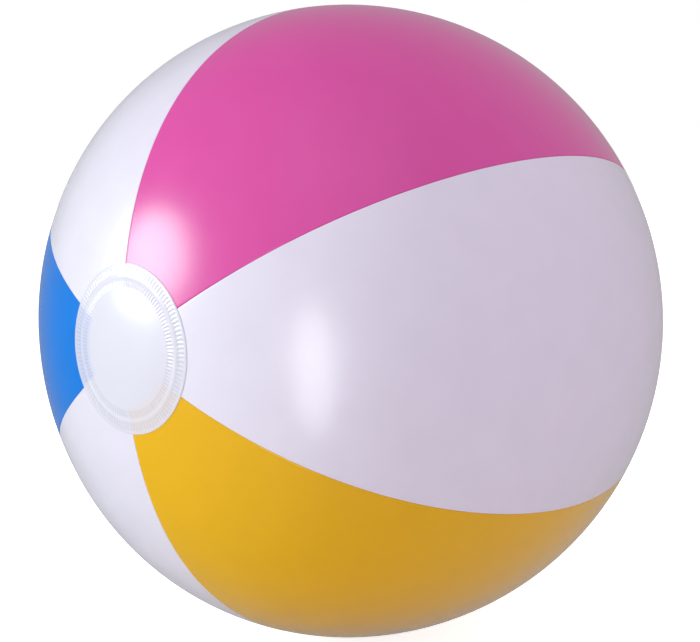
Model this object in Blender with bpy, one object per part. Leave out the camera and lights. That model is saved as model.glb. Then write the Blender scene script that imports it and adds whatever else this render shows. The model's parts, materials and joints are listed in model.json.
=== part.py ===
"""Inflatable beach ball, blown up: six welded film gores, two end caps and an inflation valve.

Metres, +Z up. The origin is the centre of the ball. Its poles, where the gores meet under the end caps,
lie on the Y axis, with the front cap at -Y and the back cap at +Y. The valve is in a white gore beside
the back cap, pushed in and plugged.
"""

import math

import bmesh
import bpy
from mathutils import Matrix, Vector

# Ball: the film bulges fully at the equator and is drawn a little flat towards the poles.
EQUATOR_RADIUS = 0.1663
POLE_RADIUS = 0.1547
FLATTENING_POWER = 4.6
FILM = 0.00025
SEAM_FIN = 0.0035
CLEARANCE = 0.0003

# End caps: round patches welded over the tips of the gores.
CAP_RADIUS = 0.0397
CAP_FILM = 0.0003
CAP_LAP = 0.0103

# Valve: every size is measured along or around its own axis.
VALVE_FROM_POLE = math.radians(36)
FLANGE_WIDTH = 0.005
FLANGE_THICKNESS = 0.0008
WEB_THICKNESS = 0.0005
WEB_DEPTH = 0.0055
STEM_RADIUS = 0.005
BORE_RADIUS = 0.0035
STEM_LENGTH = 0.014
STEM_PROUD = 0.001
LIP_OVERHANG = 0.001
LIP_THICKNESS = 0.001
LIP_CHAMFER = 0.0005
LUG_THICKNESS = 0.0007
PLUG_HEAD_THICKNESS = 0.0012
PLUG_TAIL_LENGTH = 0.0042
PLUG_WALL = 0.0007
PLUG_EDGE_ROUND = 0.0004
PULL_TAB_REACH = 0.0028
PULL_TAB_THICKNESS = 0.0007
STRAP_WIDTH = 0.0036
STRAP_THICKNESS = 0.0006
STRAP_REACH = 0.0012
FLAP_THICKNESS = 0.0005

# Facets
GORE_COLUMNS = 6
GORE_ROWS = 22
CAP_ROWS = 3
VALVE_FACETS = 24
ROUND_FACETS = 4

# Gores in order round the ball, from the top towards +X: name and material.
GORES = (
    ("gore_pink", "pink_film"),
    ("gore_white_front", "white_film"),
    ("gore_yellow", "yellow_film"),
    ("gore_white_lower", "white_film"),
    ("gore_blue", "blue_film"),
    ("gore_white_valve", "white_film"),
)
VALVE_GORE = 5

GORE_ANGLE = 2 * math.pi / len(GORES)
HALF_TURN = math.pi
STEM_TOP = STEM_PROUD
STEM_BOTTOM = STEM_TOP - STEM_LENGTH
LIP_RADIUS = STEM_RADIUS + LIP_OVERHANG
PLUG_SEAT = STEM_TOP + CLEARANCE
PLUG_HEAD_RADIUS = LIP_RADIUS
STRAP_HINGE_X = PLUG_HEAD_RADIUS + CLEARANCE + STRAP_REACH
STRAP_HINGE_Z = PLUG_SEAT + STRAP_THICKNESS / 2
LUG_END = STRAP_HINGE_X + STRAP_THICKNESS / 2
VALVE_HOLE_RADIUS = LUG_END + CLEARANCE
FLANGE_RADIUS = VALVE_HOLE_RADIUS + FLANGE_WIDTH
FLAP_RADIUS = (STEM_RADIUS + BORE_RADIUS) / 2
FLAP_HINGE_X = -(STEM_RADIUS - FLAP_THICKNESS / 2)
FLAP_HINGE_Z = STEM_BOTTOM - CLEARANCE - FLAP_THICKNESS / 2

# Colour (linear RGB), roughness and alpha of each material.
MATERIALS = {
    "pink_film": ((0.75, 0.10, 0.45), 0.22, 1.0),
    "yellow_film": ((0.80, 0.48, 0.01), 0.22, 1.0),
    "blue_film": ((0.01, 0.24, 0.75), 0.22, 1.0),
    "white_film": ((0.84, 0.84, 0.87), 0.22, 1.0),
    "milky_cap_film": ((0.86, 0.86, 0.88), 0.25, 0.85),
    "moulded_valve": ((0.80, 0.80, 0.82), 0.35, 1.0),
}


def clear_scene():
    """Removes every object that the scene starts with."""
    for found in list(bpy.data.objects):
        bpy.data.objects.remove(found, do_unlink=True)


def make_materials():
    """One Principled material for each film and for the valve's moulding."""
    for name, (colour, roughness, alpha) in MATERIALS.items():
        material = bpy.data.materials.new(name)
        material.use_nodes = True
        shader = material.node_tree.nodes["Principled BSDF"]
        shader.inputs["Base Color"].default_value = (*colour, 1.0)
        shader.inputs["Roughness"].default_value = roughness
        shader.inputs["Alpha"].default_value = alpha


def add_object(name, shape, material):
    """Writes a bmesh to a new smooth-shaded object with one material."""
    mesh = bpy.data.meshes.new(name)
    shape.to_mesh(mesh)
    shape.free()
    mesh.shade_smooth()
    mesh.set_sharp_from_angle(angle=math.radians(35))
    mesh.materials.append(bpy.data.materials[material])
    piece = bpy.data.objects.new(name, mesh)
    bpy.context.scene.collection.objects.link(piece)
    return piece


def hide_form(form):
    """Marks an object that only cuts or joins others."""
    form.hide_render = True
    form.display_type = "WIRE"


def combine(piece, form, operation):
    """Cuts or joins a hidden form into a piece."""
    hide_form(form)
    boolean = piece.modifiers.new(form.name, "BOOLEAN")
    boolean.operation = operation
    boolean.object = form
    boolean.solver = "EXACT"


def thicken(piece, thickness, offset):
    """Turns a skin into film. An offset of -1 grows it inwards, and 1 outwards."""
    solidify = piece.modifiers.new("film", "SOLIDIFY")
    solidify.thickness = thickness
    solidify.offset = offset
    solidify.use_even_offset = True


def ball_radius(polar):
    """Distance from the centre to the film, at an angle from the front pole."""
    flattening = abs(math.cos(polar)) ** FLATTENING_POWER
    return EQUATOR_RADIUS - (EQUATOR_RADIUS - POLE_RADIUS) * flattening


def on_ball(polar, turn, rise=0.0):
    """A point of the ball at an angle from the front pole, turned from the top towards +X."""
    reach = ball_radius(polar) + rise
    across = reach * math.sin(polar)
    return Vector((across * math.sin(turn), -reach * math.cos(polar), across * math.cos(turn)))


def polar_angle(from_axis):
    """The angle from the pole at which the film is this far from the pole axis."""
    low, high = 0.0, HALF_TURN / 2
    for _ in range(50):
        middle = (low + high) / 2
        if ball_radius(middle) * math.sin(middle) < from_axis:
            low = middle
        else:
            high = middle
    return low


def gore_rows():
    """Angles of a gore's rows: its tip, the cap's edge, even steps, and the same at the back."""
    tip = polar_angle(CAP_RADIUS - CAP_LAP)
    edge = polar_angle(CAP_RADIUS)
    step = (HALF_TURN - 2 * edge) / GORE_ROWS
    return [tip] + [edge + step * i for i in range(GORE_ROWS + 1)] + [HALF_TURN - tip]


def gore_point(polar, column, first_seam):
    """A point of a gore's outer skin. The outermost columns are the inner edges of its seam fins."""
    inside = min(max(column, 0), GORE_COLUMNS)
    turn = first_seam + GORE_ANGLE * inside / GORE_COLUMNS
    point = on_ball(polar, turn)
    away = {0: 1, GORE_COLUMNS: -1}.get(inside, 0)
    from_seam = Vector((math.cos(turn), 0.0, -math.sin(turn))) * away * CLEARANCE / 2
    depth = 0.0 if column == inside else SEAM_FIN
    return point * (1 - depth / point.length) + from_seam


def add_gore(index, name, material):
    """One petal of film from cap to cap, with a fin turned in along each seam."""
    shape = bmesh.new()
    columns = range(-1, GORE_COLUMNS + 2)
    grid = [
        [shape.verts.new(gore_point(polar, column, GORE_ANGLE * index)) for column in columns]
        for polar in gore_rows()
    ]
    for near, far in zip(grid, grid[1:]):
        for i in range(len(columns) - 1):
            shape.faces.new((near[i], near[i + 1], far[i + 1], far[i]))
    bmesh.ops.triangulate(shape, faces=shape.faces)
    gore = add_object(name, shape, material)
    thicken(gore, FILM, -1)
    return gore


def add_end_cap(name, at_front):
    """A round dished patch over the gore tips, its facets in line with theirs."""
    tip = polar_angle(CAP_RADIUS - CAP_LAP)
    rows = [tip * (i + 1) / CAP_ROWS for i in range(CAP_ROWS)] + [polar_angle(CAP_RADIUS)]
    around = GORE_COLUMNS * len(GORES)
    shape = bmesh.new()
    pole = shape.verts.new(on_ball(0.0, 0.0, CLEARANCE))
    rings = [
        [shape.verts.new(on_ball(polar, 2 * math.pi * i / around, CLEARANCE)) for i in range(around)]
        for polar in rows
    ]
    for i in range(around):
        after = (i + 1) % around
        shape.faces.new((pole, rings[0][after], rings[0][i]))
        for near, far in zip(rings, rings[1:]):
            shape.faces.new((near[i], near[after], far[after], far[i]))
    if not at_front:
        bmesh.ops.rotate(shape, verts=shape.verts, matrix=Matrix.Rotation(HALF_TURN, 3, "Z"))
    bmesh.ops.triangulate(shape, faces=shape.faces)
    cap = add_object(name, shape, "milky_cap_film")
    thicken(cap, CAP_FILM, 1)


def turned(name, outline, material, closed):
    """A piece turned round +Z from (radius, height) points. An open outline starts and ends on the axis."""
    shape = bmesh.new()
    points = [shape.verts.new((radius, 0.0, height)) for radius, height in outline]
    for first, second in zip(points, points[1:]):
        shape.edges.new((first, second))
    if closed:
        shape.edges.new((points[-1], points[0]))
    bmesh.ops.spin(
        shape,
        geom=shape.verts[:] + shape.edges[:],
        axis=(0, 0, 1),
        cent=(0, 0, 0),
        angle=2 * math.pi,
        steps=VALVE_FACETS,
    )
    bmesh.ops.remove_doubles(shape, verts=shape.verts, dist=1e-6)
    bmesh.ops.recalc_face_normals(shape, faces=shape.faces)
    return add_object(name, shape, material)


def extruded(name, outline, direction, material):
    """A flat outline pushed along a direction into a closed solid."""
    shape = bmesh.new()
    base = shape.faces.new([shape.verts.new(point) for point in outline])
    pushed = bmesh.ops.extrude_face_region(shape, geom=[base])
    moved = [item for item in pushed["geom"] if isinstance(item, bmesh.types.BMVert)]
    bmesh.ops.translate(shape, verts=moved, vec=direction)
    bmesh.ops.recalc_face_normals(shape, faces=shape.faces)
    return add_object(name, shape, material)


def arc(centre, radius, start, end, steps):
    """Points along a circular arc in a plane, angles in degrees."""
    angles = [math.radians(start + (end - start) * i / steps) for i in range(steps + 1)]
    return [(centre[0] + radius * math.cos(a), centre[1] + radius * math.sin(a)) for a in angles]


def place_valve():
    """An empty on the film where the valve sits: +Z points outwards and +X towards the back pole."""
    polar = HALF_TURN - VALVE_FROM_POLE
    turn = GORE_ANGLE * (VALVE_GORE + 0.5)
    origin = on_ball(polar, turn)
    step = math.radians(0.01)
    towards_pole = (on_ball(polar + step, turn) - on_ball(polar - step, turn)).normalized()
    across = Vector((-math.cos(turn), 0.0, math.sin(turn)))
    outwards = towards_pole.cross(across).normalized()
    axes = Matrix((towards_pole, across, outwards)).transposed()
    place = bpy.data.objects.new("valve_place", None)
    place.matrix_world = Matrix.Translation(origin) @ axes.to_4x4()
    bpy.context.scene.collection.objects.link(place)
    return place


def set_on(parent, piece, x=0.0, z=0.0):
    """Parents a piece and moves its mesh so that its origin is at (x, 0, z) in the parent."""
    if piece.data:
        piece.data.transform(Matrix.Translation((-x, 0.0, -z)))
    piece.parent = parent
    piece.location = (x, 0.0, z)


def film_sag():
    """How far the middle of a facet beside the valve lies inside the true curve."""
    row_step = (HALF_TURN - 2 * polar_angle(CAP_RADIUS)) / GORE_ROWS
    column_step = GORE_ANGLE / GORE_COLUMNS
    along = 1 - math.cos(row_step / 2)
    across = (1 - math.cos(column_step / 2)) * math.sin(VALVE_FROM_POLE) ** 2
    return EQUATOR_RADIUS * (along + across)


def flange_top(radius):
    """Height of the flange's upper face: under the film, falling away with the ball's curve."""
    return -FILM - CLEARANCE - film_sag() - radius**2 / (2 * POLE_RADIUS)


def add_flange(place):
    """The ring that is welded to the film from inside, round the hole."""
    inner, outer = VALVE_HOLE_RADIUS, FLANGE_RADIUS
    outline = (
        (inner, flange_top(inner)),
        (outer, flange_top(outer)),
        (outer, flange_top(outer) - FLANGE_THICKNESS),
        (inner, flange_top(inner) - FLANGE_THICKNESS),
    )
    set_on(place, turned("valve_flange", outline, "moulded_valve", closed=True))


def add_web(place):
    """The thin cone that joins the flange to the stem and turns inside out as the stem comes out."""
    outer = VALVE_HOLE_RADIUS - CLEARANCE
    inner = STEM_RADIUS + CLEARANCE
    top = flange_top(VALVE_HOLE_RADIUS) - FLANGE_THICKNESS / 2
    outline = (
        (outer, top),
        (outer, top - WEB_THICKNESS),
        (inner, top - WEB_DEPTH - WEB_THICKNESS),
        (inner, top - WEB_DEPTH),
    )
    set_on(place, turned("valve_web", outline, "moulded_valve", closed=True))


def add_stem(place):
    """The tube that is blown into, with a lip round its mouth and a lug for the strap."""
    outline = (
        (BORE_RADIUS, STEM_TOP),
        (LIP_RADIUS, STEM_TOP),
        (LIP_RADIUS, STEM_TOP - LIP_THICKNESS),
        (STEM_RADIUS, STEM_TOP - LIP_THICKNESS - LIP_CHAMFER),
        (STEM_RADIUS, STEM_BOTTOM),
        (BORE_RADIUS, STEM_BOTTOM),
    )
    stem = turned("valve_stem", outline, "moulded_valve", closed=True)
    set_on(place, stem)
    half = STRAP_WIDTH / 2
    root = (LIP_RADIUS + BORE_RADIUS) / 2
    under = STEM_TOP - (LIP_THICKNESS + LUG_THICKNESS) / 2
    corners = [(x, y, under) for x, y in ((root, -half), (LUG_END, -half), (LUG_END, half), (root, half))]
    lug = extruded("stem_lug_form", corners, (0, 0, LUG_THICKNESS), "moulded_valve")
    set_on(place, lug)
    combine(stem, lug, "UNION")


def add_plug(place):
    """The stopper: a flat head, a tab to pull it by, and a hollow tail, tapered to swing clear of the bore."""
    top = PLUG_SEAT + PLUG_HEAD_THICKNESS
    tail = BORE_RADIUS - CLEARANCE
    bottom = PLUG_SEAT - PLUG_TAIL_LENGTH
    swing = STRAP_HINGE_X + tail
    tip = math.sqrt(swing**2 - (STRAP_HINGE_Z - bottom) ** 2) - STRAP_HINGE_X
    corner = (PLUG_HEAD_RADIUS - PLUG_EDGE_ROUND, top - PLUG_EDGE_ROUND)
    outline = (
        [(0.0, top)]
        + arc(corner, PLUG_EDGE_ROUND, 90, 0, ROUND_FACETS)
        + [
            (PLUG_HEAD_RADIUS, PLUG_SEAT),
            (tail, PLUG_SEAT),
            (tip, bottom),
            (tip - PLUG_WALL, bottom),
            (tip - PLUG_WALL, PLUG_SEAT),
            (0.0, PLUG_SEAT),
        ]
    )
    plug = turned("valve_plug", outline, "moulded_valve", closed=False)
    set_on(place, plug, STRAP_HINGE_X, STRAP_HINGE_Z)
    half = STRAP_WIDTH / 2
    start = -PLUG_HEAD_RADIUS + half
    end = -PLUG_HEAD_RADIUS - PULL_TAB_REACH + half
    height = PLUG_SEAT + (PLUG_HEAD_THICKNESS - PULL_TAB_THICKNESS) / 2
    rounded = [(x, y, height) for x, y in arc((end, 0.0), half, 90, 270, 2 * ROUND_FACETS)]
    corners = [(start, half, height)] + rounded + [(start, -half, height)]
    tab = extruded("pull_tab_form", corners, (0, 0, PULL_TAB_THICKNESS), "moulded_valve")
    set_on(place, tab)
    combine(plug, tab, "UNION")


def add_strap(place):
    """The strap that keeps the plug on the stem, bending at its round root."""
    half = STRAP_THICKNESS / 2
    root = arc((STRAP_HINGE_X, STRAP_HINGE_Z), half, 90, -90, ROUND_FACETS)
    start = PLUG_HEAD_RADIUS + CLEARANCE
    side = [(start, STRAP_HINGE_Z + half)] + root + [(start, STRAP_HINGE_Z - half)]
    corners = [(x, -STRAP_WIDTH / 2, z) for x, z in side]
    strap = extruded("plug_strap", corners, (0, STRAP_WIDTH, 0), "moulded_valve")
    set_on(place, strap, STRAP_HINGE_X, STRAP_HINGE_Z)


def add_flap(place):
    """The non-return flap under the stem, hinged at one side on a short tongue."""
    half = FLAP_THICKNESS / 2
    tongue = STRAP_WIDTH / 2
    reach = math.degrees(math.asin(tongue / FLAP_RADIUS))
    disc = arc((0.0, 0.0), FLAP_RADIUS, -180 + reach, 180 - reach, VALVE_FACETS)
    end = FLAP_HINGE_X - half
    under = FLAP_HINGE_Z - half
    corners = [(x, y, under) for x, y in disc + [(end, tongue), (end, -tongue)]]
    flap = extruded("check_flap", corners, (0, 0, FLAP_THICKNESS), "moulded_valve")
    set_on(place, flap, FLAP_HINGE_X, FLAP_HINGE_Z)


def cut_valve_hole(gore, place):
    """Opens the hole in the film that the stem goes through."""
    circle = arc((0.0, 0.0), VALVE_HOLE_RADIUS, 0, 360, VALVE_FACETS)[:-1]
    outline = [(x, y, -VALVE_HOLE_RADIUS) for x, y in circle]
    hole = extruded("valve_hole_form", outline, (0, 0, 2 * VALVE_HOLE_RADIUS), "moulded_valve")
    set_on(place, hole)
    combine(gore, hole, "DIFFERENCE")


def main():
    clear_scene()
    make_materials()
    gores = [add_gore(index, *gore) for index, gore in enumerate(GORES)]
    add_end_cap("end_cap_front", at_front=True)
    add_end_cap("end_cap_back", at_front=False)
    place = place_valve()
    cut_valve_hole(gores[VALVE_GORE], place)
    for add_piece in (add_flange, add_web, add_stem, add_plug, add_strap, add_flap):
        add_piece(place)


main()
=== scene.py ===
"""The looks of an inflated beach ball: welded film gores, milky end caps and a push-in valve.

Metres, +Z up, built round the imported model. The pole axis is Y, with the front cap at -Y. The valve's own
frame has +Z out of the ball and +X towards the back pole.
"""

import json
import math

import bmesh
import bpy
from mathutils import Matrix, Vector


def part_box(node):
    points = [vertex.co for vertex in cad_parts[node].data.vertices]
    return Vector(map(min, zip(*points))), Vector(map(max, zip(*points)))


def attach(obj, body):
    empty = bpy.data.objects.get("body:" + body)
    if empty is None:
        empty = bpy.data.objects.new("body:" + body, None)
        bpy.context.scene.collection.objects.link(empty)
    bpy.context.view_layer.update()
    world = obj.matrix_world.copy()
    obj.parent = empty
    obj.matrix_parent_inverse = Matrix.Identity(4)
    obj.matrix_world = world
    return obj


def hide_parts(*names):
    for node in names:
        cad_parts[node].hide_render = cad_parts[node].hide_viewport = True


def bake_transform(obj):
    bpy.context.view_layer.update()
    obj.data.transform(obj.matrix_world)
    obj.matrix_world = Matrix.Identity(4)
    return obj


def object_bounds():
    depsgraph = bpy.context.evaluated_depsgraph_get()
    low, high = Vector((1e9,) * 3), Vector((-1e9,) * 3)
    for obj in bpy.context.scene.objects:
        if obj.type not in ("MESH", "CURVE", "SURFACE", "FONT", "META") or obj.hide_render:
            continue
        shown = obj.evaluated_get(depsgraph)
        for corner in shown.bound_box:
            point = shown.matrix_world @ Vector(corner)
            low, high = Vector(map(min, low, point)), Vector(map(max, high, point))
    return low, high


bl_info = {
    "name": "Inflatable beach ball",
    "version": (1, 0, 0),
    "blender": (4, 5, 0),
    "location": "3D View > Sidebar > Beach Ball",
    "description": "Builds the film, end caps, valve and studio of an inflated beach ball",
    "category": "Add Mesh",
}

from bpy.props import FloatProperty, FloatVectorProperty, IntProperty, PointerProperty
from mathutils import Matrix, Vector

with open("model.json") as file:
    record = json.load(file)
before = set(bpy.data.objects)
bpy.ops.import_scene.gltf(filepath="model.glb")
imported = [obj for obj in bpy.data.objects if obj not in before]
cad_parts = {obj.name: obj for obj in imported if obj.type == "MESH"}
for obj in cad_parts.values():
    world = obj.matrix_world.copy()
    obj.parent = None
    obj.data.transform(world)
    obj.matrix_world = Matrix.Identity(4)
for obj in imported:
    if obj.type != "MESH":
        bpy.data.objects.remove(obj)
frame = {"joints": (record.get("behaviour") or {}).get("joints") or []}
CAD_BOX = [list(corner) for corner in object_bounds()]

MM = 0.001
HALF_TURN = math.pi
FULL_TURN = 2 * math.pi

# The ball's form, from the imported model's box. The film stands 0.6 mm inside the caps at the poles.
CAP_STAND = 0.6 * MM
EQUATOR_RADIUS = CAD_BOX[1][0]
POLE_RADIUS = CAD_BOX[1][1] - CAP_STAND
FLATTENING_POWER = 4.6
CAP_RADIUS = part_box("end_cap_front")[1][0]
CAP_LAP = 10.3 * MM

# Gores in order round the ball, from the top towards +X.
GORES = (
    ("gore_pink", "pink_film"),
    ("gore_white_front", "white_film"),
    ("gore_yellow", "yellow_film"),
    ("gore_white_lower", "white_film"),
    ("gore_blue", "blue_film"),
    ("gore_white_valve", "white_film"),
)
VALVE_GORE = 5
GORE_ANGLE = FULL_TURN / len(GORES)
GORE_ROWS = 110
GORE_COLUMNS = 26
FOLD_STEPS = 4

# The valve's sizes along and around its own axis.
STRAP_HINGE_X = 7.5 * MM
STRAP_HINGE_Z = 1.6 * MM
HOLE_RADIUS = 8.1 * MM
FLANGE_RADIUS = 13.1 * MM
PATCH_RADIUS = 15.5 * MM
PATCH_ROOM = 2.5 * MM
PATCH_FACETS = 96
PATCH_STEPS = 40
VALVE_FACETS = 72
STEM_RADIUS = 5.0 * MM
BORE_RADIUS = 3.5 * MM
LIP_RADIUS = 6.0 * MM
STEM_TOP = 1.0 * MM
STEM_BOTTOM = -13.0 * MM


def linear_from_hex(code):
    """The linear RGBA of an sRGB hex colour."""
    shades = [int(code[i : i + 2], 16) / 255 for i in (1, 3, 5)]
    return tuple(s / 12.92 if s <= 0.04045 else ((s + 0.055) / 1.055) ** 2.4 for s in shades) + (1.0,)


def colour(name, description, code):
    """A colour setting with an sRGB hex default."""
    return FloatVectorProperty(
        name=name,
        description=description,
        subtype="COLOR",
        size=4,
        min=0,
        max=1,
        default=linear_from_hex(code),
    )


def length(name, description, millimetres):
    """A length setting in metres with a default in millimetres."""
    return FloatProperty(
        name=name, description=description, default=millimetres * MM, min=0, unit="LENGTH", precision=5
    )


def angle(name, description, degrees):
    """An angle setting with a default in degrees."""
    return FloatProperty(name=name, description=description, default=math.radians(degrees), subtype="ANGLE")


class BEACHBALL_PG_film(bpy.types.PropertyGroup):
    pink: colour("Pink", "Pigment of the pink gore", "#E656A7")
    yellow: colour("Yellow", "Pigment of the yellow gore", "#F5BC00")
    blue: colour("Blue", "Pigment of the blue gore", "#0080E1")
    white: colour("White", "Pigment of the white gores", "#EFEAF3")
    thickness: length("Film", "Thickness of the gores' film", 0.25)
    fold: length("Seam fold", "Radius at which the film turns in at a seam", 0.4)
    fin: length("Seam fin", "Depth of the welded fin inside a seam", 3.5)
    seam_gap: length("Seam gap", "Room between the film and the middle of a seam", 0.02)
    ripple: length("Ripple", "Distance between the shallow ripples of the taut film", 30.0)
    grain: length("Grain", "Grain left by the calender rolls", 0.9)


class BEACHBALL_PG_cap(bpy.types.PropertyGroup):
    milk: colour("Milk", "Colour of the cap's film", "#E6E4EB")
    marks: IntProperty(name="Weld marks", description="Marks in each weld ring", default=116, min=12)
    mark_depth: length("Mark depth", "Depth of a weld mark", 0.18)
    ridge: length("Ridge", "Height of the plain ridge between the weld rings", 0.16)
    bulge: length("Bulge", "Rise of the cap's free middle", 0.46)
    thickness: length("Film", "Thickness of the cap's film", 0.3)
    show_through: FloatProperty(
        name="Show-through",
        description="How much of the gores' colour shows",
        default=0.13,
        min=0,
        max=1,
        subtype="FACTOR",
    )


class BEACHBALL_PG_valve(bpy.types.PropertyGroup):
    colour: colour("Moulding", "Colour of the soft valve moulding", "#F2F2F6")
    flange: length("Flange", "Thickness of the flange", 0.8)
    web: length("Web", "Thickness of the web", 0.45)
    strap: length("Strap", "Thickness of the strap", 0.6)


class BEACHBALL_PG_stage(bpy.types.PropertyGroup):
    floor: colour("Floor", "Colour of the studio floor", "#F4F4F4")
    azimuth: angle("Azimuth", "Camera's angle round +Z", 42.15)
    elevation: angle("Elevation", "Camera's angle above the horizon", 5.07)
    roll: angle("Roll", "Camera's lean to its right", 1.75)
    distance: length("Distance", "Camera's distance from the ball's centre", 809.9)
    lens: FloatProperty(
        name="Lens", description="Focal length on a 36 mm sensor", default=77.6, unit="CAMERA"
    )


def settings(group):
    """One of the add-on's groups of settings."""
    return getattr(bpy.context.scene, "beach_ball_" + group)


# Form of the ball


def film_radius(polar):
    """Distance from the centre to the film, at an angle from the front pole."""
    return EQUATOR_RADIUS - (EQUATOR_RADIUS - POLE_RADIUS) * abs(math.cos(polar)) ** FLATTENING_POWER


def on_ball(polar, turn, rise=0.0):
    """A point at an angle from the front pole, turned from the top towards +X."""
    reach = film_radius(polar) + rise
    across = reach * math.sin(polar)
    return Vector((across * math.sin(turn), -reach * math.cos(polar), across * math.cos(turn)))


def polar_angle(from_axis):
    """The angle from the pole at which the film is this far from the pole axis."""
    low, high = 0.0, HALF_TURN / 2
    for _ in range(50):
        middle = (low + high) / 2
        if film_radius(middle) * math.sin(middle) < from_axis:
            low = middle
        else:
            high = middle
    return low


def smooth_step(value, start, end):
    """0 before start and 1 after end, with a smooth rise between."""
    share = min(max((value - start) / (end - start), 0.0), 1.0)
    return share * share * (3 - 2 * share)


def arc(centre, radius, start, end, steps):
    """Points along a circular arc, angles in degrees."""
    angles = [math.radians(start + (end - start) * i / steps) for i in range(steps + 1)]
    return [(centre[0] + radius * math.cos(a), centre[1] + radius * math.sin(a)) for a in angles]


def find_valve():
    """The valve's frame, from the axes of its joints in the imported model."""
    joints = {joint["name"]: joint for joint in frame["joints"]}
    out = Vector(joints["stem_slide"]["axis"]).normalized()
    across = Vector(joints["plug_hinge"]["axis"]).normalized()
    along = across.cross(out).normalized()
    hinge = Vector(joints["plug_hinge"]["pos_m"])
    origin = hinge - along * STRAP_HINGE_X - out * STRAP_HINGE_Z
    axes = Matrix((along, across, out)).transposed()
    return Matrix.Translation(origin) @ axes.to_4x4()


VALVE = find_valve()
TO_VALVE = VALVE.inverted()
VALVE_OUT = VALVE.col[2].to_3d()


def by_valve(x, y, sink=0.0):
    """A point of the ball's skin beside the valve, sunk by a depth along the valve's axis."""
    point = VALVE @ Vector((x, y, 0.0))
    for _ in range(4):
        polar = math.acos(-point.y / point.length)
        point += VALVE_OUT * (film_radius(polar) - point.length) / point.normalized().dot(VALVE_OUT)
    return point - VALVE_OUT * sink


# Materials

# Soft PVC's refractive index, and the thin coat of plasticiser that blurs its gloss.
FILM_IOR = 1.54
FILM_COAT = 0.6
FILM_COAT_ROUGHNESS = 0.25
MOULDING_IOR = 1.53

# Sizes of the cloudiness in the gores' and caps' film, and of the skin that the mould leaves on the valve.
GORE_CLOUD = 18 * MM
CAP_CLOUD = 14 * MM
MOULD_SKIN = 0.5 * MM


def add_node(tree, kind, values=None, links=None, **options):
    """Adds a shader node with its options, its inputs' values and its links."""
    node = tree.nodes.new(kind)
    for name, value in options.items():
        setattr(node, name, value)
    for name, value in (values or {}).items():
        node.inputs[name].default_value = value
    for name, source in (links or {}).items():
        tree.links.new(source, node.inputs[name])
    return node


def new_material(name):
    """An empty material: its node tree and its Principled shader."""
    material = bpy.data.materials.new(name)
    material.use_nodes = True
    return material, material.node_tree, material.node_tree.nodes["Principled BSDF"]


def per_metre(size):
    """A noise texture's scale that repeats about once in this length."""
    return 1.0 / size


def calendered_vinyl(name, pigment):
    """Plasticised PVC film from polished calender rolls: an even pigment under a soft, broad gloss."""
    film = settings("film")
    material, tree, shader = new_material(name)
    place = add_node(tree, "ShaderNodeTexCoord").outputs["Object"]
    ripple = add_node(
        tree, "ShaderNodeTexNoise", {"Scale": per_metre(film.ripple), "Detail": 1.0}, {"Vector": place}
    )
    grain = add_node(
        tree, "ShaderNodeTexNoise", {"Scale": per_metre(film.grain), "Detail": 3.0}, {"Vector": place}
    )
    cloud = add_node(
        tree, "ShaderNodeTexNoise", {"Scale": per_metre(GORE_CLOUD), "Detail": 4.0}, {"Vector": place}
    )
    taut = add_node(
        tree,
        "ShaderNodeBump",
        {"Strength": 0.6, "Distance": 0.3 * MM},
        {"Height": ripple.outputs["Fac"]},
    )
    rolled = add_node(
        tree,
        "ShaderNodeBump",
        {"Strength": 0.12, "Distance": 0.02 * MM},
        {"Height": grain.outputs["Fac"], "Normal": taut.outputs["Normal"]},
    )
    shade = add_node(
        tree, "ShaderNodeMapRange", {"To Min": 0.965, "To Max": 1.03}, {"Value": cloud.outputs["Fac"]}
    )
    tinted = add_node(tree, "ShaderNodeHueSaturation", {"Color": pigment}, {"Value": shade.outputs["Result"]})
    sheen = add_node(
        tree, "ShaderNodeMapRange", {"To Min": 0.22, "To Max": 0.28}, {"Value": cloud.outputs["Fac"]}
    )
    tree.links.new(tinted.outputs["Color"], shader.inputs["Base Color"])
    tree.links.new(sheen.outputs["Result"], shader.inputs["Roughness"])
    tree.links.new(rolled.outputs["Normal"], shader.inputs["Normal"])
    shader.inputs["IOR"].default_value = FILM_IOR
    shader.inputs["Coat Weight"].default_value = FILM_COAT
    shader.inputs["Coat Roughness"].default_value = FILM_COAT_ROUGHNESS
    return material


def milky_vinyl(name):
    """Natural, unpigmented PVC film: milky, with the pigment that it lies on showing faintly through, and
    painted shade in the grooves of the pressed weld marks.
    """
    cap = settings("cap")
    material, tree, shader = new_material(name)
    beneath = add_node(tree, "ShaderNodeAttribute", attribute_name="beneath")
    # The stored colour mixes the gores' show-through with painted shade in the pressed marks' grooves.
    cover = add_node(
        tree,
        "ShaderNodeMath",
        {1: cap.show_through},
        {0: beneath.outputs["Alpha"]},
        operation="MULTIPLY",
    )
    seen = add_node(
        tree,
        "ShaderNodeMix",
        {"A": cap.milk},
        {"Factor": cover.outputs["Value"], "B": beneath.outputs["Color"]},
        data_type="RGBA",
    )
    place = add_node(tree, "ShaderNodeTexCoord").outputs["Object"]
    cloud = add_node(
        tree, "ShaderNodeTexNoise", {"Scale": per_metre(CAP_CLOUD), "Detail": 1.0}, {"Vector": place}
    )
    uneven = add_node(
        tree, "ShaderNodeBump", {"Strength": 0.3, "Distance": 0.06 * MM}, {"Height": cloud.outputs["Fac"]}
    )
    sheen = add_node(
        tree, "ShaderNodeMapRange", {"To Min": 0.22, "To Max": 0.26}, {"Value": cloud.outputs["Fac"]}
    )
    tree.links.new(seen.outputs["Result"], shader.inputs["Base Color"])
    tree.links.new(sheen.outputs["Result"], shader.inputs["Roughness"])
    tree.links.new(uneven.outputs["Normal"], shader.inputs["Normal"])
    shader.inputs["IOR"].default_value = FILM_IOR
    shader.inputs["Coat Weight"].default_value = FILM_COAT
    shader.inputs["Coat Roughness"].default_value = FILM_COAT_ROUGHNESS
    return material


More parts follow.
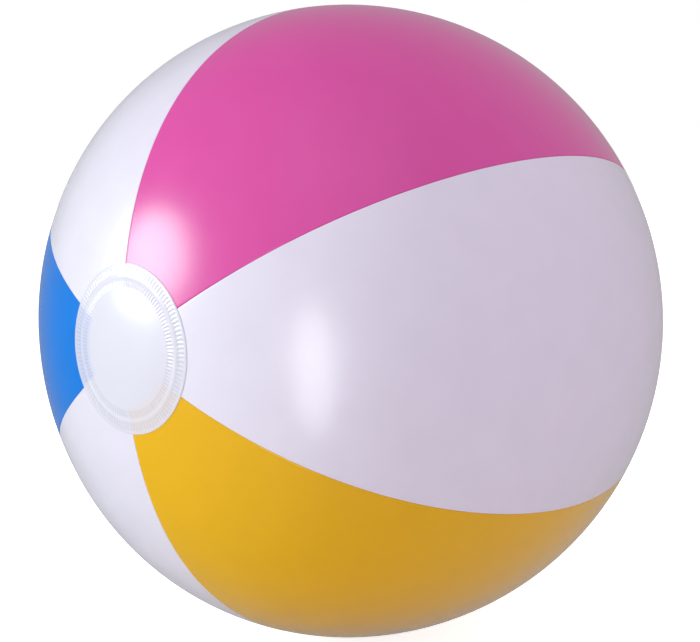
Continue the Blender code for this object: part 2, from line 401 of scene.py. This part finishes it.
def moulded_vinyl(name):
    """Soft injection-moulded PVC: a little cloudy, with a satin skin from the mould."""
    material, tree, shader = new_material(name)
    place = add_node(tree, "ShaderNodeTexCoord").outputs["Object"]
    skin = add_node(
        tree, "ShaderNodeTexNoise", {"Scale": per_metre(MOULD_SKIN), "Detail": 3.0}, {"Vector": place}
    )
    bump = add_node(
        tree, "ShaderNodeBump", {"Strength": 0.25, "Distance": 0.03 * MM}, {"Height": skin.outputs["Fac"]}
    )
    sheen = add_node(
        tree, "ShaderNodeMapRange", {"To Min": 0.33, "To Max": 0.45}, {"Value": skin.outputs["Fac"]}
    )
    tree.links.new(sheen.outputs["Result"], shader.inputs["Roughness"])
    tree.links.new(bump.outputs["Normal"], shader.inputs["Normal"])
    shader.inputs["Base Color"].default_value = settings("valve").colour
    shader.inputs["IOR"].default_value = MOULDING_IOR
    shader.inputs["Subsurface Weight"].default_value = 0.25
    shader.inputs["Subsurface Radius"].default_value = (1.0, 0.9, 0.8)
    shader.inputs["Subsurface Scale"].default_value = 1.0 * MM
    return material


def material_for(slot):
    """The material of one of the record's slots, made the first time that it is asked for."""
    found = bpy.data.materials.get(slot + "_vinyl")
    if found:
        return found
    if slot == "milky_cap_film":
        return milky_vinyl(slot + "_vinyl")
    if slot == "moulded_valve":
        return moulded_vinyl(slot + "_vinyl")
    return calendered_vinyl(slot + "_vinyl", getattr(settings("film"), slot.split("_")[0]))


# Mesh work

# Angles in degrees from which an edge is shaded sharp, and from which a cut outline's edge is rounded.
SHARP_ANGLE = 40
CAP_SHARP_ANGLE = 60
ROUNDED_ANGLE = 50


def add_piece(name, shape, slot, sharp_angle=SHARP_ANGLE):
    """Writes a bmesh to a new smooth-shaded object with the finish of one of the record's slots."""
    mesh = bpy.data.meshes.new(name)
    shape.to_mesh(mesh)
    shape.free()
    mesh.shade_smooth()
    mesh.set_sharp_from_angle(angle=math.radians(sharp_angle))
    mesh.materials.append(material_for(slot))
    piece = bpy.data.objects.new(name, mesh)
    bpy.context.scene.collection.objects.link(piece)
    return piece


def thicken(piece, thickness):
    """Gives a skin the thickness of its film, inwards, and applies it."""
    solidify = piece.modifiers.new("film", "SOLIDIFY")
    solidify.thickness = thickness
    solidify.offset = -1
    solidify.use_even_offset = True
    apply_modifiers(piece)


def apply_modifiers(piece):
    """Replaces a piece's mesh with what its modifiers make of it."""
    graph = bpy.context.evaluated_depsgraph_get()
    made = bpy.data.meshes.new_from_object(piece.evaluated_get(graph))
    piece.modifiers.clear()
    piece.data = made
    made.set_sharp_from_angle(angle=math.radians(SHARP_ANGLE))


def skin_between(shape, near, far, closed):
    """Faces between two rows of vertices."""
    count = len(near)
    for i in range(count if closed else count - 1):
        after = (i + 1) % count
        shape.faces.new((near[i], near[after], far[after], far[i]))


def turned(outline, closed):
    """A bmesh turned round the valve's axis from (radius, height) points, set in its place in the ball."""
    shape = bmesh.new()
    points = [shape.verts.new((radius, 0.0, height)) for radius, height in outline]
    for first, second in zip(points, points[1:]):
        shape.edges.new((first, second))
    if closed:
        shape.edges.new((points[-1], points[0]))
    bmesh.ops.spin(
        shape,
        geom=shape.verts[:] + shape.edges[:],
        axis=(0, 0, 1),
        cent=(0, 0, 0),
        angle=FULL_TURN,
        steps=VALVE_FACETS,
    )
    bmesh.ops.remove_doubles(shape, verts=shape.verts, dist=1e-7)
    bmesh.ops.recalc_face_normals(shape, faces=shape.faces)
    bmesh.ops.transform(shape, matrix=VALVE, verts=shape.verts)
    return shape


def extruded(outline, push, rounding):
    """A bmesh of an outline in the valve's frame pushed through a distance, its edges rounded."""
    shape = bmesh.new()
    base = shape.faces.new([shape.verts.new(point) for point in outline])
    pushed = bmesh.ops.extrude_face_region(shape, geom=[base])
    moved = [item for item in pushed["geom"] if isinstance(item, bmesh.types.BMVert)]
    bmesh.ops.translate(shape, verts=moved, vec=push)
    bmesh.ops.recalc_face_normals(shape, faces=shape.faces)
    edges = [edge for edge in shape.edges if edge.calc_face_angle(0.0) > math.radians(ROUNDED_ANGLE)]
    bmesh.ops.bevel(shape, geom=edges, offset=rounding, segments=3, profile=0.5, affect="EDGES")
    bmesh.ops.transform(shape, matrix=VALVE, verts=shape.verts)
    return shape


# Gores


def seam_profile():
    """Offset from the seam and depth under the skin of each column from the fin to the open film."""
    film = settings("film")
    fold = [
        (film.seam_gap + film.fold - x, film.fold - y)
        for x, y in arc((0.0, 0.0), film.fold, 0, 90, FOLD_STEPS)
    ]
    open_film = [(film.seam_gap + film.fold + step * MM, 0.0) for step in (0.5, 1.5, 3.0)]
    return [(film.seam_gap, film.fin)] + fold + open_film


def gore_row(shape, polar, first_seam, profile):
    """One row of a gore's vertices from seam to seam."""
    across = film_radius(polar) * math.sin(polar)
    edge = profile[-1][0] / across
    places = [(offset / across, depth) for offset, depth in profile]
    middle = GORE_ANGLE - 2 * edge
    places += [(edge + middle * i / GORE_COLUMNS, 0.0) for i in range(1, GORE_COLUMNS)]
    places += [(GORE_ANGLE - offset / across, depth) for offset, depth in reversed(profile)]
    return [shape.verts.new(on_ball(polar, first_seam + turn, -depth)) for turn, depth in places]


def weld_depth(radius):
    """How deep the film is pressed on to the flange, at a distance from the valve's axis."""
    band = smooth_step(radius, FLANGE_RADIUS + 0.2 * MM, FLANGE_RADIUS - 0.5 * MM)
    rib = 0.05 * MM * (1 + math.cos(FULL_TURN * radius / (0.9 * MM))) * band
    lead_in = 0.5 * MM * smooth_step(radius, HOLE_RADIUS + 1.2 * MM, HOLE_RADIUS)
    return 0.35 * MM * band + rib + lead_in


def weld_round_valve(shape):
    """Opens the film round the valve and fills it with the pressed weld ring and the hole's edge."""
    near = [
        vert
        for vert in shape.verts
        if (TO_VALVE @ vert.co).to_2d().length < PATCH_RADIUS + PATCH_ROOM and vert.co.dot(VALVE_OUT) > 0
    ]
    bmesh.ops.delete(shape, geom=near, context="VERTS")
    rim = [
        edge
        for edge in shape.edges
        if edge.is_boundary and all((TO_VALVE @ v.co).to_2d().length < 2 * PATCH_RADIUS for v in edge.verts)
    ]
    reach = HOLE_RADIUS - PATCH_RADIUS
    radii = [PATCH_RADIUS + reach * i / PATCH_STEPS for i in range(PATCH_STEPS + 1)]
    rings = []
    for radius in radii:
        circle = arc((0.0, 0.0), radius, 0, 360, PATCH_FACETS)[:-1]
        rings.append([shape.verts.new(by_valve(x, y, weld_depth(radius))) for x, y in circle])
    for near_ring, far_ring in zip(rings, rings[1:]):
        skin_between(shape, near_ring, far_ring, closed=True)
    shape.edges.ensure_lookup_table()
    outer = rings[0]
    outer_edges = [shape.edges.get((outer[i], outer[(i + 1) % PATCH_FACETS])) for i in range(PATCH_FACETS)]
    bmesh.ops.bridge_loops(shape, edges=rim + outer_edges)
    bmesh.ops.recalc_face_normals(shape, faces=shape.faces)


def make_gore(index, node, slot):
    """One gore: taut film between two folded seams, with the welded fins inside."""
    shape = bmesh.new()
    tip = polar_angle(CAP_RADIUS - CAP_LAP)
    profile = seam_profile()
    rows = [
        gore_row(shape, tip + (HALF_TURN - 2 * tip) * i / GORE_ROWS, GORE_ANGLE * index, profile)
        for i in range(GORE_ROWS + 1)
    ]
    for near, far in zip(rows, rows[1:]):
        skin_between(shape, near, far, closed=False)
    if index == VALVE_GORE:
        weld_round_valve(shape)
    gore = add_piece(node + "_film", shape, slot)
    thicken(gore, settings("film").thickness)
    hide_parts(node)
    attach(gore, "ball")


class BEACHBALL_OT_gores(bpy.types.Operator):
    """Makes the six film gores with their folded seams"""

    bl_idname = "beachball.gores"
    bl_label = "Make gores"

    def execute(self, context):
        for index, (node, slot) in enumerate(GORES):
            make_gore(index, node, slot)
        return {"FINISHED"}


# End caps

# Shares of the cap's radius: where each weld ring starts and ends, where the plain ridge is, and how long
# a weld ring's edge takes to sink. PRESSED tells which samples of a mark are pressed.
WELD_RINGS = ((0.72, 0.81), (0.875, 0.965))
RIDGE = (0.82, 0.87)
SAMPLES_PER_MARK = 4
PRESSED = (1, 1, 0, 0)
RAMP = 0.009
CAP_FOOT = 0.02 * MM

# How strongly each pigment shows through the milky film, and how much painted shade greys the groove of a
# pressed weld mark.
SHOWS = {"pink_film": 0.25, "yellow_film": 0.8, "blue_film": 1.4, "white_film": 0.0}
GROOVE_SHADE_GREY = 0.3
GROOVE_SHADE_SHARE = 1.1


def cap_rise(share, pressed):
    """Height of the cap's skin over the gores, at a share of its radius."""
    cap = settings("cap")
    rise = cap.thickness + 0.05 * MM
    free = WELD_RINGS[0][0] - 0.01
    if share < free:
        rise += cap.bulge * (1 - (share / free) ** 5) ** 2
    for start, end in WELD_RINGS:
        band = smooth_step(share, start, start + RAMP) * smooth_step(share, end, end - RAMP)
        rise -= cap.mark_depth * pressed * band
    middle = sum(RIDGE) / 2
    rise += cap.ridge * smooth_step(share, RIDGE[0], middle) * smooth_step(share, RIDGE[1], middle)
    rise -= 0.12 * MM * smooth_step(share, 0.985, 1.0) ** 2
    return rise


def cap_shares():
    """The rows of the cap, as shares of its radius, close together where its relief is."""
    shares = [0.03 * i for i in range(1, 24)]
    shares += [0.705, 0.715]
    shares += [WELD_RINGS[0][0] + RAMP * i for i in range(11)]
    shares += [RIDGE[0] + 0.0083 * i for i in range(1, 6)]
    shares += [WELD_RINGS[1][0] + RAMP * i for i in range(11)]
    return shares + [0.972, 0.980, 0.986, 0.991, 0.995, 0.998, 1.0]


def paint_beneath_and_groove_shade(mesh):
    """Stores, at each point of a cap, the colour of the gore under it and how much of it shows, with painted
    shade greying the grooves of the pressed weld marks.
    """
    layer = mesh.color_attributes.new("beneath", "FLOAT_COLOR", "POINT")
    around = settings("cap").marks * SAMPLES_PER_MARK
    for vert, stored in zip(mesh.vertices, layer.data):
        share = math.hypot(vert.co.x, vert.co.z) / CAP_RADIUS
        turn = math.atan2(vert.co.x, vert.co.z) % FULL_TURN
        slot = GORES[int(turn / GORE_ANGLE) % len(GORES)][1]
        pigment = getattr(settings("film"), slot.split("_")[0])
        pressed = PRESSED[round(turn / FULL_TURN * around) % SAMPLES_PER_MARK]
        in_ring = any(start < share < end for start, end in WELD_RINGS)
        shown = SHOWS[slot] * smooth_step(share, 0.62, 0.74)
        # Painted shade: the groove of a pressed mark is greyed as if shade fell in it.
        groove_shade = GROOVE_SHADE_SHARE * pressed * in_ring
        cover = shown + groove_shade
        mixed = [(c * shown + GROOVE_SHADE_GREY * groove_shade) / max(cover, 0.001) for c in pigment[:3]]
        stored.color = (*mixed, cover)


def make_end_cap(name, at_front):
    """A round patch of milky film, welded over the gore tips in two rings of radial marks."""
    cap = settings("cap")
    around = cap.marks * SAMPLES_PER_MARK
    shape = bmesh.new()
    pole = shape.verts.new(on_ball(0.0, 0.0, cap_rise(0.0, 0)))
    rows = []
    for share in cap_shares():
        polar = polar_angle(CAP_RADIUS * share)
        rises = [cap_rise(share, pressed) for pressed in PRESSED]
        rows.append(
            [
                shape.verts.new(on_ball(polar, FULL_TURN * i / around, rises[i % SAMPLES_PER_MARK]))
                for i in range(around)
            ]
        )
    foot = polar_angle(CAP_RADIUS)
    rows.append([shape.verts.new(on_ball(foot, FULL_TURN * i / around, CAP_FOOT)) for i in range(around)])
    for i in range(around):
        shape.faces.new((pole, rows[0][(i + 1) % around], rows[0][i]))
    for near, far in zip(rows, rows[1:]):
        skin_between(shape, near, far, closed=True)
    if not at_front:
        bmesh.ops.scale(shape, vec=(1, -1, 1), verts=shape.verts)
        bmesh.ops.reverse_faces(shape, faces=shape.faces)
    piece = add_piece(name + "_film", shape, "milky_cap_film", CAP_SHARP_ANGLE)
    paint_beneath_and_groove_shade(piece.data)
    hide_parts(name)
    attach(piece, "ball")


class BEACHBALL_OT_end_caps(bpy.types.Operator):
    """Makes the two end caps with their rings of weld marks"""

    bl_idname = "beachball.end_caps"
    bl_label = "Make end caps"

    def execute(self, context):
        make_end_cap("end_cap_front", at_front=True)
        make_end_cap("end_cap_back", at_front=False)
        return {"FINISHED"}


# Valve

WELD_ROOM = 0.03 * MM
FLANGE_STEPS = 20
WEB_STEPS = 24
WEB_DROP = 5.5 * MM
WEB_SWELL = 0.5 * MM
WEB_ROOM = 0.1 * MM
WEB_SLOPE = 1.2
END_ROUND = 0.2 * MM
MOUTH_ROUND = 0.3 * MM
LIP_ROUND = 0.45 * MM
LUG_HALF_WIDTH = 1.8 * MM
TONGUE_HALF_WIDTH = 1.8 * MM
PLUG_SEAT = STEM_TOP + 0.3 * MM
PLUG_TOP = PLUG_SEAT + 1.2 * MM
PLUG_BOTTOM = PLUG_SEAT - 4.2 * MM
PLUG_ROUND = 0.4 * MM
TAB_HALF_WIDTH = 1.9 * MM
TAB_ROOT = -LIP_RADIUS + 1.5 * MM
STRAP_STEPS = 24


def finish_valve_piece(piece, node, body):
    """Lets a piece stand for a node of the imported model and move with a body."""
    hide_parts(node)
    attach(piece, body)


def join(piece, form):
    """Unites a piece with a form that was made for it, and removes the form."""
    union = piece.modifiers.new("union", "BOOLEAN")
    union.operation = "UNION"
    union.object = form
    apply_modifiers(piece)
    bpy.data.objects.remove(form, do_unlink=True)


def flange_top(radius):
    """Height of the flange's upper face in the valve's frame: against the film's underside."""
    point = TO_VALVE @ by_valve(radius, 0.0, weld_depth(radius))
    return point.z - settings("film").thickness - WELD_ROOM


def make_flange():
    """The ring welded inside the film, round the hole."""
    thickness = settings("valve").flange
    width = FLANGE_RADIUS - HOLE_RADIUS
    radii = [HOLE_RADIUS + width * i / FLANGE_STEPS for i in range(FLANGE_STEPS + 1)]
    top = [(radius, flange_top(radius)) for radius in radii]
    edge = top[-1][1] - thickness
    inner = top[0][1] - thickness
    outline = top + [(FLANGE_RADIUS - END_ROUND, edge), (HOLE_RADIUS, inner)]
    flange = add_piece("valve_flange_ring", turned(outline, closed=True), "moulded_valve")
    finish_valve_piece(flange, "valve_flange", "ball")


def make_web():
    """The thin cone from the flange to the stem, fixed where it rests: the real web turns over when the stem
    slides out, this one does not.
    """
    valve = settings("valve")
    start = flange_top(HOLE_RADIUS) - valve.flange / 2
    end = start - WEB_DROP
    skin = []
    for i in range(WEB_STEPS + 1):
        share = i / WEB_STEPS
        swell = WEB_SWELL * math.sin(HALF_TURN * share)
        radius = HOLE_RADIUS - WEB_ROOM - (HOLE_RADIUS - STEM_RADIUS - 2 * WEB_ROOM) * share + swell
        skin.append((radius, start + (end - start) * share))
    lower = [(radius, height - valve.web * WEB_SLOPE) for radius, height in reversed(skin)]
    web = add_piece("valve_web_cone", turned(skin + lower, closed=True), "moulded_valve")
    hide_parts("valve_web")
    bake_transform(web)


class BEACHBALL_OT_valve_seat(bpy.types.Operator):
    """Makes the flange welded inside the film, and the thin web that carries the stem"""

    bl_idname = "beachball.valve_seat"
    bl_label = "Make valve seat"

    def execute(self, context):
        make_flange()
        make_web()
        return {"FINISHED"}


def stem_outline():
    """Half section of the stem, as (radius, height): mouth, rolled lip, neck and lower end."""
    rim = (LIP_RADIUS - LIP_ROUND, STEM_TOP - LIP_ROUND)
    mouth = (BORE_RADIUS + MOUTH_ROUND, STEM_TOP - MOUTH_ROUND)
    return (
        arc(mouth, MOUTH_ROUND, 180, 90, 5)
        + arc(rim, LIP_ROUND, 90, -60, 10)
        + [(STEM_RADIUS + 0.15 * MM, STEM_TOP - 1.35 * MM), (STEM_RADIUS, STEM_TOP - 1.8 * MM)]
        + arc((STEM_RADIUS - END_ROUND, STEM_BOTTOM + END_ROUND), END_ROUND, 0, -90, 4)
        + arc((BORE_RADIUS + END_ROUND, STEM_BOTTOM + END_ROUND), END_ROUND, -90, -180, 4)
    )


def lug_form():
    """The lug at the lip, with an upturned end that the strap hangs on."""
    root = (LIP_RADIUS + BORE_RADIUS) / 2
    low, high, top = 0.15 * MM, 0.85 * MM, STRAP_HINGE_Z + 0.3 * MM
    near, end = STRAP_HINGE_X - 0.05 * MM, STRAP_HINGE_X + 0.5 * MM
    corners = [(root, low), (end, low), (end, top), (near, top), (near, high), (root, high)]
    outline = [(x, -LUG_HALF_WIDTH, z) for x, z in corners]
    return add_piece("lug_form", extruded(outline, (0, 2 * LUG_HALF_WIDTH, 0), 0.15 * MM), "moulded_valve")


def make_stem():
    """The tube that is blown into, with its rolled lip and lug."""
    stem = add_piece("valve_stem_tube", turned(stem_outline(), closed=True), "moulded_valve")
    join(stem, lug_form())
    finish_valve_piece(stem, "valve_stem", "stem")


def make_flap():
    """The round flap under the stem, with the tongue that it hangs by."""
    radius = (STEM_RADIUS + BORE_RADIUS) / 2
    reach = math.degrees(math.asin(TONGUE_HALF_WIDTH / radius))
    disc = arc((0.0, 0.0), radius, -180 + reach, 180 - reach, 48)
    tail = [(-STEM_RADIUS, TONGUE_HALF_WIDTH), (-STEM_RADIUS, -TONGUE_HALF_WIDTH)]
    under = STEM_BOTTOM - 0.8 * MM
    shape = extruded([(x, y, under) for x, y in disc + tail], (0, 0, 0.5 * MM), 0.12 * MM)
    flap = add_piece("check_flap_disc", shape, "moulded_valve")
    finish_valve_piece(flap, "check_flap", "flap")


class BEACHBALL_OT_valve_stem(bpy.types.Operator):
    """Makes the stem with its rolled lip and lug, and the check flap under it"""

    bl_idname = "beachball.valve_stem"
    bl_label = "Make valve stem"

    def execute(self, context):
        make_stem()
        make_flap()
        return {"FINISHED"}


def plug_outline():
    """Half section of the plug, as (radius, height): dished head, rounded rim and hollow tail."""
    dish = PLUG_TOP - 0.25 * MM
    return (
        [(0.0, dish), (2.4 * MM, dish), (3.2 * MM, PLUG_TOP - 0.1 * MM), (4.0 * MM, PLUG_TOP)]
        + arc((LIP_RADIUS - PLUG_ROUND, PLUG_TOP - PLUG_ROUND), PLUG_ROUND, 90, 0, 6)
        + arc((LIP_RADIUS - END_ROUND, PLUG_SEAT + END_ROUND), END_ROUND, 0, -90, 4)
        + [(3.3 * MM, PLUG_SEAT), (3.15 * MM, PLUG_SEAT - 0.4 * MM)]
        + arc((2.1 * MM, PLUG_BOTTOM + END_ROUND), END_ROUND, 0, -90, 4)
        + [(1.6 * MM, PLUG_BOTTOM), (1.55 * MM, PLUG_BOTTOM + 0.1 * MM)]
        + [(1.5 * MM, PLUG_SEAT - 0.2 * MM), (0.0, PLUG_SEAT)]
    )


def tab_form():
    """The pull tab, round at its end."""
    rounded = arc((-LIP_RADIUS - 1.0 * MM, 0.0), TAB_HALF_WIDTH, 90, 270, 16)
    corners = [(TAB_ROOT, TAB_HALF_WIDTH)] + rounded + [(TAB_ROOT, -TAB_HALF_WIDTH)]
    outline = [(x, y, PLUG_SEAT + 0.25 * MM) for x, y in corners]
    return add_piece("tab_form", extruded(outline, (0, 0, 0.7 * MM), 0.2 * MM), "moulded_valve")


def make_plug():
    """The stopper, with its pull tab."""
    plug = add_piece("valve_plug_stopper", turned(plug_outline(), closed=False), "moulded_valve")
    join(plug, tab_form())
    finish_valve_piece(plug, "valve_plug", "plug")


def make_strap():
    """The thin strap between the lug and the plug, fixed where it rests: the real strap bends when the plug
    opens, this one does not.
    """
    thickness = settings("valve").strap
    start = LIP_RADIUS - 0.3 * MM
    end = STRAP_HINGE_X + 0.25 * MM
    low = STRAP_HINGE_Z - thickness / 2
    high = low + thickness
    half = LUG_HALF_WIDTH
    section = ((-half, low), (half, low), (half, high), (-half, high))
    shape = bmesh.new()
    rows = []
    for i in range(STRAP_STEPS + 1):
        x = start + (end - start) * i / STRAP_STEPS
        rows.append([shape.verts.new(VALVE @ Vector((x, y, z))) for y, z in section])
    for near, far in zip(rows, rows[1:]):
        skin_between(shape, near, far, closed=True)
    shape.faces.new(rows[0])
    shape.faces.new(rows[-1])
    bmesh.ops.recalc_face_normals(shape, faces=shape.faces)
    strap = add_piece("plug_strap_hinge", shape, "moulded_valve")
    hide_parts("plug_strap")
    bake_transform(strap)


class BEACHBALL_OT_valve_plug(bpy.types.Operator):
    """Makes the plug with its pull tab, and the strap that keeps it on the stem"""

    bl_idname = "beachball.valve_plug"
    bl_label = "Make valve plug"

    def execute(self, context):
        make_plug()
        make_strap()
        return {"FINISHED"}


# Studio


def aim(thing, towards):
    """Turns a camera or light so that it looks along a direction."""
    thing.rotation_mode = "QUATERNION"
    thing.rotation_quaternion = towards.to_track_quat("-Z", "Y")


def direction(azimuth, elevation):
    """The direction at an angle round +Z from -Y, and an angle above the horizon."""
    flat = math.cos(elevation)
    return Vector((math.sin(azimuth) * flat, -math.cos(azimuth) * flat, math.sin(elevation)))


# The room that the film's gloss mirrors: where its dim front is, the cosines of the angle from there between
# which it dims, and its glow behind and in front.
ROOM_FRONT = (math.radians(5), math.radians(5))
ROOM_TURNS = (-0.85, 0.2)
ROOM_GLOW = (0.42, 0.04)
FILL_COLOUR = "#FDEDFF"
FILL_STRENGTH = 0.65

FLOOR_SIZE = 30.0
FLOOR_DROP = 0.1 * MM
FLOOR_GLOW = 0.85

# The camera's sensor in millimetres, and its sideways shift as a share of the frame's width.
SENSOR_WIDTH = 36
CAMERA_SHIFT = 2.4 / 700

# Softboxes: shape, place (azimuth and elevation in degrees, distance), size, power, colour, what it lights.
SOFTBOXES = {
    "key_softbox": ("ELLIPSE", (-37, 14.5, 1.5), (0.66, 0.6), 8.9, "#EAFFFB", "all"),
    "low_softbox": ("ELLIPSE", (-32, -5, 1.3), (0.5, 0.1), 1.9, "#EAFFFB", "diffuse"),
    "front_strip": ("ELLIPSE", (24, -9.5, 0.7), (0.17, 0.45), 0.79, "#FFFFFF", "gloss"),
    "top_softbox": ("RECTANGLE", (34, 60, 1.6), (1.3, 1.3), 5.0, "#E4FBFF", "diffuse"),
}


def add_softbox(name, shape, place, size, power, tint, lit):
    """A soft light that faces the ball, unseen by the camera."""
    light = bpy.data.lights.new(name, "AREA")
    light.shape = shape
    light.size, light.size_y = size
    light.energy = power
    light.color = linear_from_hex(tint)[:3]
    box = bpy.data.objects.new(name, light)
    bpy.context.scene.collection.objects.link(box)
    azimuth, elevation, distance = place
    away = direction(math.radians(azimuth), math.radians(elevation))
    box.location = away * distance
    aim(box, -away)
    box.visible_camera = False
    box.visible_diffuse = lit != "gloss"
    box.visible_glossy = lit != "diffuse"


def make_world():
    """White walls to the camera, pale fill from all round, and a room for the gloss that is dim in front."""
    world = bpy.data.worlds.new("studio_walls")
    bpy.context.scene.world = world
    world.use_nodes = True
    tree = world.node_tree
    tree.nodes.clear()
    ray = add_node(tree, "ShaderNodeLightPath")
    place = add_node(tree, "ShaderNodeTexCoord")
    front = add_node(
        tree,
        "ShaderNodeVectorMath",
        {1: direction(*ROOM_FRONT)},
        {0: place.outputs["Generated"]},
        operation="DOT_PRODUCT",
    )
    mirrored = add_node(
        tree,
        "ShaderNodeMapRange",
        {
            "From Min": ROOM_TURNS[0],
            "From Max": ROOM_TURNS[1],
            "To Min": ROOM_GLOW[0],
            "To Max": ROOM_GLOW[1],
        },
        {"Value": front.outputs["Value"]},
    )
    walls = add_node(tree, "ShaderNodeBackground", {"Color": (1, 1, 1, 1), "Strength": 1.0})
    fill = add_node(
        tree, "ShaderNodeBackground", {"Color": linear_from_hex(FILL_COLOUR), "Strength": FILL_STRENGTH}
    )
    gloss = add_node(
        tree,
        "ShaderNodeBackground",
        {"Color": (1, 1, 1, 1)},
        {"Strength": mirrored.outputs["Result"]},
    )
    lit = add_node(
        tree,
        "ShaderNodeMixShader",
        {},
        {"Fac": ray.outputs["Is Glossy Ray"], 1: fill.outputs["Background"], 2: gloss.outputs["Background"]},
    )
    both = add_node(
        tree,
        "ShaderNodeMixShader",
        {},
        {"Fac": ray.outputs["Is Camera Ray"], 1: lit.outputs["Shader"], 2: walls.outputs["Background"]},
    )
    add_node(tree, "ShaderNodeOutputWorld", {}, {"Surface": both.outputs["Shader"]})


def make_floor():
    """A pale, matt studio floor that fades into the white walls for the camera."""
    shape = bmesh.new()
    bmesh.ops.create_grid(shape, x_segments=4, y_segments=4, size=FLOOR_SIZE)
    bmesh.ops.translate(shape, verts=shape.verts, vec=(0, 0, CAD_BOX[0][2] - FLOOR_DROP))
    mesh = bpy.data.meshes.new("studio_floor")
    shape.to_mesh(mesh)
    shape.free()
    floor = bpy.data.objects.new("studio_floor", mesh)
    bpy.context.scene.collection.objects.link(floor)
    material, tree, shader = new_material("matt_painted_floor")
    shader.inputs["Base Color"].default_value = settings("stage").floor
    shader.inputs["Roughness"].default_value = 0.9
    shader.inputs["Specular IOR Level"].default_value = 0.0
    shader.inputs["Emission Color"].default_value = (1, 1, 1, 1)
    ray = add_node(tree, "ShaderNodeLightPath")
    glow = add_node(
        tree, "ShaderNodeMath", {1: FLOOR_GLOW}, {0: ray.outputs["Is Camera Ray"]}, operation="MULTIPLY"
    )
    tree.links.new(glow.outputs["Value"], shader.inputs["Emission Strength"])
    mesh.materials.append(material)
    floor.visible_glossy = False


def make_camera():
    """The camera, aimed at the ball's centre."""
    stage = settings("stage")
    data = bpy.data.cameras.new("camera")
    data.lens = stage.lens
    data.sensor_width = SENSOR_WIDTH
    data.shift_x = CAMERA_SHIFT
    camera = bpy.data.objects.new("camera", data)
    bpy.context.scene.collection.objects.link(camera)
    back = direction(stage.azimuth, stage.elevation)
    camera.location = back * stage.distance
    aim(camera, -back)
    lean = Matrix.Rotation(-stage.roll, 4, "Z").to_quaternion()
    camera.rotation_quaternion = camera.rotation_quaternion @ lean
    bpy.context.scene.camera = camera


class BEACHBALL_OT_stage(bpy.types.Operator):
    """Makes the pale floor, the soft studio light and the camera"""

    bl_idname = "beachball.stage"
    bl_label = "Make stage"

    def execute(self, context):
        make_floor()
        make_world()
        for name, box in SOFTBOXES.items():
            add_softbox(name, *box)
        make_camera()
        context.scene.view_settings.view_transform = "Standard"
        return {"FINISHED"}


class BEACHBALL_PT_panel(bpy.types.Panel):
    """Lists the steps that build the ball"""

    bl_label = "Beach Ball"
    bl_space_type = "VIEW_3D"
    bl_region_type = "UI"
    bl_category = "Beach Ball"

    def draw(self, context):
        for step in STEPS:
            self.layout.operator(step.bl_idname)
        for group in GROUPS:
            box = self.layout.box()
            for name in GROUPS[group].__annotations__:
                box.prop(settings(group), name)


GROUPS = {
    "film": BEACHBALL_PG_film,
    "cap": BEACHBALL_PG_cap,
    "valve": BEACHBALL_PG_valve,
    "stage": BEACHBALL_PG_stage,
}
STEPS = (
    BEACHBALL_OT_stage,
    BEACHBALL_OT_gores,
    BEACHBALL_OT_end_caps,
    BEACHBALL_OT_valve_seat,
    BEACHBALL_OT_valve_stem,
    BEACHBALL_OT_valve_plug,
)


def register():
    for made in (*GROUPS.values(), *STEPS, BEACHBALL_PT_panel):
        bpy.utils.register_class(made)
    for name, group in GROUPS.items():
        setattr(bpy.types.Scene, "beach_ball_" + name, PointerProperty(type=group))


def unregister():
    for name in GROUPS:
        delattr(bpy.types.Scene, "beach_ball_" + name)
    for made in reversed((*GROUPS.values(), *STEPS, BEACHBALL_PT_panel)):
        bpy.utils.unregister_class(made)


def main():
    register()
    for step in STEPS:
        group, name = step.bl_idname.split(".")
        getattr(getattr(bpy.ops, group), name)()


if __name__ == "__main__":
    main()
